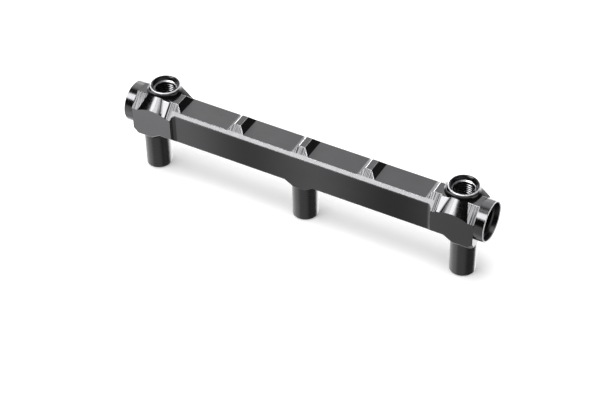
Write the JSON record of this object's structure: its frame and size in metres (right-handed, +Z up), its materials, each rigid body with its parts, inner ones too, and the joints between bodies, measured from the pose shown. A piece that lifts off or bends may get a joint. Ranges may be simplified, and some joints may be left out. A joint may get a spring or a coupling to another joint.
{
  "type": "fuel rail",
  "caption": "Machined aluminium fuel rail with pocketed top, injector stubs below, threaded ports on top of the end blocks and in both ends.",
  "frame": {"origin": "on the middle injector stub's axis, in the plane of the stubs' feet", "axes": "+X along the rail, +Y to the side the top ports are offset to, +Z up from the stubs to the top ports"},
  "size_m": [0.243, 0.0268, 0.058],
  "materials": {
    "anodised_body": "black anodised, fine milled faces"
  },
  "bodies": {
    "root": {"rail_body": "anodised_body"}
  },
  "joints": []
}
